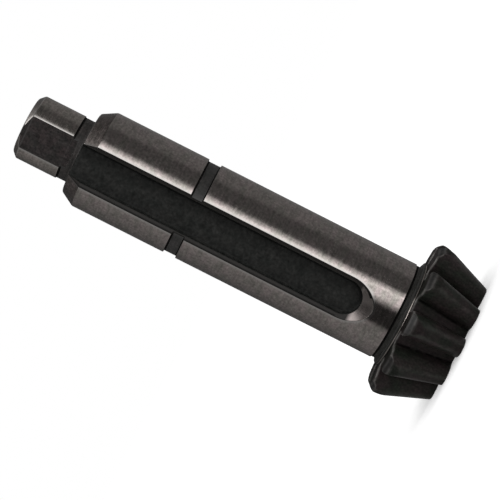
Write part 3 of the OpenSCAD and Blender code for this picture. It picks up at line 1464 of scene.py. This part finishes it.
FINISHES: dict[Zone, Finish] = {
    Zone.GROUND: BrightFinish(
        "ground_steel", (0.60, 0.518, 0.502), (0.485, 0.452, 0.415), (0.86, 0.83, 0.80), roughness=0.13,
        blotch=(3.4, 3.4, 1.3), marks=(2.2, 2.2, 0.35), mark_depth=0.002, pit=0.5, pit_depth=0.0032,
        grain=0.24, streak=0.18),
    Zone.TURNED: BrightFinish(
        "turned_steel", (0.30, 0.28, 0.265), (0.26, 0.24, 0.225), (0.40, 0.38, 0.36), roughness=0.32,
        spread=0.05, blotch=(4, 4, 3), marks=(3, 3, 0.16), pit=0.25, pit_depth=0, grain=0.12, streak=0.12),
    Zone.STUB: BrightFinish(
        "turned_stub", (0.65, 0.572, 0.535), (0.525, 0.488, 0.443), (0.88, 0.85, 0.82), roughness=0.16,
        spread=0.05, blotch=(2, 2, 1.6), marks=(2, 2, 0.35), mark_depth=0.0015, pit_depth=0, grain=0.25,
        streak=0.2),
    Zone.NECK: Finish(
        "blackened_neck", (0.0330, 0.0270, 0.0255), (0.0215, 0.0200, 0.0182), (0.03, 0.029, 0.028),
        roughness=0.48, mark_depth=0.004),
    Zone.GROOVE: Finish(
        "blackened_groove", (0.0250, 0.0228, 0.0218), (0.0172, 0.0172, 0.0155), (0.035, 0.034, 0.0325),
        roughness=0.4, specular=0.65, blotch=(1.8, 1.8, 1.8)),
    # On the slot and its rim the edge colour is the painted shade colour.
    Zone.SLOT: Finish(
        "blackened_slot", (0.0232, 0.0232, 0.0219), (0.0156, 0.0166, 0.0155), (0.0012, 0.0011, 0.0010),
        specular=0.1, blotch=(1.8, 1.8, 2.4), marks=(0.8, 0.8, 0.8), mark_depth=0.006, pit=0.5,
        pit_depth=0.006, grain=0.25),
    Zone.RIM: RimFinish(
        "bevelled_rim", (0.0178, 0.0148, 0.0132), (0.0130, 0.0119, 0.0103), (0.001, 0.0009, 0.0009),
        roughness=0.22, spread=0.05, specular=0.3, blotch=(2.2, 2.2, 3.0), marks=(0.4, 0.4, 2.0),
        mark_depth=0.0015, pit=0.35, pit_depth=0.001, grain=0.15, streak=0.12),
    Zone.FLAT: Finish(
        "milled_flat", (0.0330, 0.0236, 0.0234), (0.0210, 0.0186, 0.0172), (0.05, 0.048, 0.046),
        roughness=0.45, blotch=(1.6, 1.6, 2.0), marks=(0.4, 0.4, 1.6)),
    Zone.BLACK: ToothFinish(
        "blackened_teeth", (0.0208, 0.0156, 0.0157), (0.0122, 0.0142, 0.0110), (0.26, 0.249, 0.239),
        specular=0.06, blotch=(2.6, 2.6, 4.2), marks=(0.4, 0.4, 2.6), mark_depth=0.005, pit_depth=0.008,
        grain=0.35, streak=0.26),
    Zone.BEVEL: ToothFinish(
        "worn_bevel", (0.0125, 0.0110, 0.0104), (0.0085, 0.0081, 0.0074), (0.14, 0.133, 0.127),
        roughness=0.42, specular=0.34, blotch=(1, 1, 1), marks=(1.5, 1.5, 0.2), pit_depth=0.006,
        grain=0.35, streak=0.12),
    Zone.COLLAR: Finish(
        "turned_collar", (0.0268, 0.0250, 0.0224), (0.0190, 0.0192, 0.0166), (0.025, 0.024, 0.023),
        roughness=0.48, specular=0.3, grain=0.35, streak=0.35),
    Zone.TAPER: BrightFinish(
        "turned_taper", (0.268, 0.226, 0.217), (0.197, 0.176, 0.163), (0.23, 0.218, 0.209), roughness=0.28,
        mark_depth=0.004, pit=0.5, pit_depth=0.008, grain=0.35, streak=0.25),
    # Lit and shaded copies of one blackened finish: the tips' lands are painted darker than the flanks.
    Zone.LAND: ToothFinish(
        "blackened_land_painted_darker", (0.0164, 0.0122, 0.0122), (0.0102, 0.0116, 0.0092), (0.2, 0.19, 0.182),
        specular=0.06, blotch=(2.4, 2.4, 4.0), marks=(0.4, 0.4, 2.2), mark_depth=0.005, pit_depth=0.008,
        grain=0.35, streak=0.26),
    # Painted shade for corners, the groove's walls and the line along the slot's rim.
    Zone.SHADE: Finish(
        "painted_corner_shade", (0.0052, 0.0044, 0.0043), (0.0038, 0.0037, 0.0033), (0.02, 0.019, 0.018),
        roughness=0.55, spread=0.05, specular=0.05, marks=(2.5, 2.5, 0.2), pit=0.3, pit_depth=0.003,
        grain=0.3, streak=0.12),
}


@dataclass
class Pinion:
    """The whole part, which is one piece of steel."""

    name: str = "pinion_gear_and_shaft"
    node: str = "pinion_shaft"
    shaft: Shaft = field(default_factory=Shaft)
    teeth: BevelTeeth = field(default_factory=BevelTeeth)
    centre: LatheCentre = field(default_factory=LatheCentre)
    toe_columns: int = 8

    def build(self) -> bpy.types.Object:
        """Builds and dresses the part, and puts it on its body.

        Returns:
            The finished piece.
        """
        skin = Skin()
        low, top = self.shaft.build(skin)
        toe, heel = self.teeth.build(skin)
        self.teeth.close(skin, heel, low, up=True)
        columns = self.teeth.count * self.toe_columns
        start = self.teeth.phase - self.teeth.pitch / 2
        mouth = self.centre.build(skin, [start + FULL * i / columns for i in range(columns)], 0.0, up=False)
        self.teeth.close(skin, toe, mouth, up=False)
        mouth = self.centre.build(skin, skin.angles(top), skin.points[top[0]][2], up=True)
        skin.strip(top, mouth, Zone.TURNED)
        piece = skin.build(self.name, [FINISHES[zone].material() for zone in Zone])
        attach(piece, BODY)
        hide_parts(self.node)
        return piece


@dataclass
class PhotoCamera:
    """The camera, at the photograph's viewing angle."""

    azimuth: float = CAMERA_AZIMUTH
    elevation: float = math.radians(1.45)
    roll: float = math.radians(26.85)
    distance: float = 0.3953
    lens: float = 154.8
    sensor: float = 36
    centre_z: float = 0.04176
    centre_side: float = -0.0020

    def build(self) -> bpy.types.Object:
        """Adds the camera and makes it the scene's own.

        Returns:
            The camera.
        """
        a, e = self.azimuth, self.elevation
        back = Vector((math.sin(a) * math.cos(e), -math.cos(a) * math.cos(e), math.sin(e)))
        side = Vector((math.cos(a), math.sin(a), 0))
        up = back.cross(side)
        right = side * math.sin(self.roll) - up * math.cos(self.roll)
        top = side * math.cos(self.roll) + up * math.sin(self.roll)
        place = side * self.centre_side + Vector((0, 0, self.centre_z)) + back * self.distance
        data = bpy.data.cameras.new("camera")
        data.lens = self.lens
        data.sensor_width = self.sensor
        camera = show("camera", data)
        camera.matrix_world = Matrix.Translation(place) @ Matrix((right, top, back)).transposed().to_4x4()
        bpy.context.scene.camera = camera
        return camera


# The surround goes from pale to dark and back round the part, and its brightest stretch is the softbox.
# Each pair is an angle in degrees from the camera's side, towards the part's -X side, and a strength.
SURROUND = (
    (-178, 0.15), (-143, 0.15), (-126, 0.145), (-105, 0.14), (-95, 0.137), (-90, 0.125), (-86, 0.105),
    (-82, 0.082), (-78, 0.072), (-60, 0.073), (-46.2, 0.08), (-43.4, 0.2), (-41.4, 0.42), (-38, 0.6),
    (-35.5, 0.82), (-33.5, 1.12), (-31, 1.22), (-29, 1.0), (-24, 0.86), (-20, 0.88), (-17, 0.84),
    (-13, 0.78), (-9, 0.5), (-5, 0.3), (-1, 0.12), (3, 0.036), (7, 0.025), (37.6, 0.023), (40.6, 0.035),
    (43.6, 0.09), (46.6, 0.16), (50, 0.19), (60, 0.2), (85, 0.2), (92, 0.185), (100, 0.165), (110, 0.15),
    (122, 0.13), (132, 0.112), (141, 0.09), (150, 0.08), (182, 0.08),
)


@dataclass
class Studio:
    """The pale floor, the white room, the graded paper round the part and the lamp above it."""

    floor_half: float = 2.5
    floor_color: float = 0.8
    floor_roughness: float = 0.9
    floor_glow: float = 0.35
    room_glow: float = 0.85
    table_start: float = 0.03
    table_lift: float = 0.0006
    paper_distance: float = 0.55
    paper_foot: float = 0.04
    paper_step: int = 8
    paper_top: int = 80
    dim_from: float = 50
    dim_to: float = 66
    top_glow: float = 0.3
    lamp_place: Point = (0.15, -0.1, 0.9)
    lamp_aim: Point = (0, 0, 0.045)
    lamp_size: float = 0.5
    lamp_power: float = 2.0

    def room(self) -> None:
        """Makes the surroundings white to look at, and dimmer as a light."""
        world = bpy.data.worlds.new("white_room")
        world.use_nodes = True
        graph = Graph(world.node_tree)
        background = graph.tree.nodes["Background"].inputs
        graph.put((1, 1, 1, 1), background["Color"])
        graph.put(graph.remap(graph.seen(), 0, 1, self.room_glow, 1), background["Strength"])
        bpy.context.scene.world = world

    def sheet(self, name: str, points: list[Point], faces: list[tuple[int, ...]],
              material: bpy.types.Material) -> bpy.types.Object:
        """Adds a mesh that belongs to the studio.

        Args:
            name: Name of the object and its mesh.
            points: Places in metres.
            faces: Numbers of the corners of each face.
            material: What it is made of.

        Returns:
            The new object.
        """
        mesh = bpy.data.meshes.new(name)
        mesh.from_pydata(points, [], faces)
        mesh.materials.append(material)
        return show(name, mesh)

    def floor(self) -> None:
        """Adds the floor, which is white to look at and keeps the part's shadow."""
        material, graph = new_material("pale_floor")
        looks = {
            "Base Color": (self.floor_color, self.floor_color, self.floor_color, 1),
            "Roughness": self.floor_roughness,
            "Specular IOR Level": 0.0,
            "Emission Color": (1, 1, 1, 1),
            "Emission Strength": graph.math("MULTIPLY", graph.seen(), self.floor_glow),
        }
        for name, value in looks.items():
            graph.put(value, graph.shader[name])
        half = self.floor_half
        corners = [(-half, -half, 0), (half, -half, 0), (half, half, 0), (-half, half, 0)]
        floor = self.sheet("floor", corners, [(0, 1, 2, 3)], material)

    def paper(self) -> bpy.types.Material:
        """Makes the paper's material, which glows by the value on the mesh's points.

        Returns:
            The new material.
        """
        material, graph = new_material("graded_paper")
        nodes = graph.tree.nodes
        nodes.remove(nodes["Principled BSDF"])
        glow = graph.add("ShaderNodeEmission")
        graph.put(graph.attribute("strength"), glow.inputs["Strength"])
        graph.put(glow.outputs[0], nodes["Material Output"].inputs["Surface"])
        return material

    def surround(self) -> None:
        """Adds the graded paper, on the table and up past the part, which only reflections see."""
        profile = [(self.table_start, self.table_lift), (self.paper_distance, self.table_lift)]
        dimming = [0.0, 0.0]
        for degrees in range(self.paper_step, self.paper_top + 1, self.paper_step):
            out, up = math.cos(math.radians(degrees)), math.sin(math.radians(degrees))
            profile.append((self.paper_distance * out, self.paper_foot + self.paper_distance * up))
            dimming.append(clamp((degrees - self.dim_from) / (self.dim_to - self.dim_from)))
        points, faces, strengths = [], [], []
        for degrees, strength in SURROUND:
            points += [polar(r, CAMERA_AZIMUTH - math.radians(degrees), z) for r, z in profile]
            strengths += [strength + (self.top_glow - strength) * share for share in dimming]
        size = len(profile)
        for a in range(len(points) - size):
            if (a + 1) % size:
                faces.append((a, a + 1, a + size + 1, a + size))
        paper = self.sheet("graded_paper", points, faces, self.paper())
        paper.data.attributes.new("strength", "FLOAT", "POINT").data.foreach_set("value", strengths)
        paper.visible_camera = False
        paper.visible_diffuse = False
        paper.visible_shadow = False

    def lamp(self) -> None:
        """Adds the square lamp above the part, which looks at its middle."""
        data = bpy.data.lights.new("top_lamp", "AREA")
        data.energy = self.lamp_power
        data.size = self.lamp_size
        lamp = show("top_lamp", data)
        place = Vector(self.lamp_place)
        lamp.location = place
        lamp.rotation_euler = (Vector(self.lamp_aim) - place).to_track_quat("-Z", "Y").to_euler()
        lamp.visible_camera = False

    def build(self) -> None:
        """Adds the whole studio."""
        self.room()
        self.floor()
        self.surround()
        self.lamp()


def main() -> None:
    """Builds the part, the studio and the camera, in that order."""
    logging.basicConfig(level=logging.INFO, format="%(message)s")
    piece = Pinion().build()
    log.info("%s: %d points, %d faces", piece.name, len(piece.data.vertices), len(piece.data.polygons))
    Studio().build()
    camera = PhotoCamera().build()
    log.info("%s: %.1f mm lens", camera.name, camera.data.lens)
    bpy.context.scene.view_settings.view_transform = "Standard"


if __name__ == "__main__":
    main()
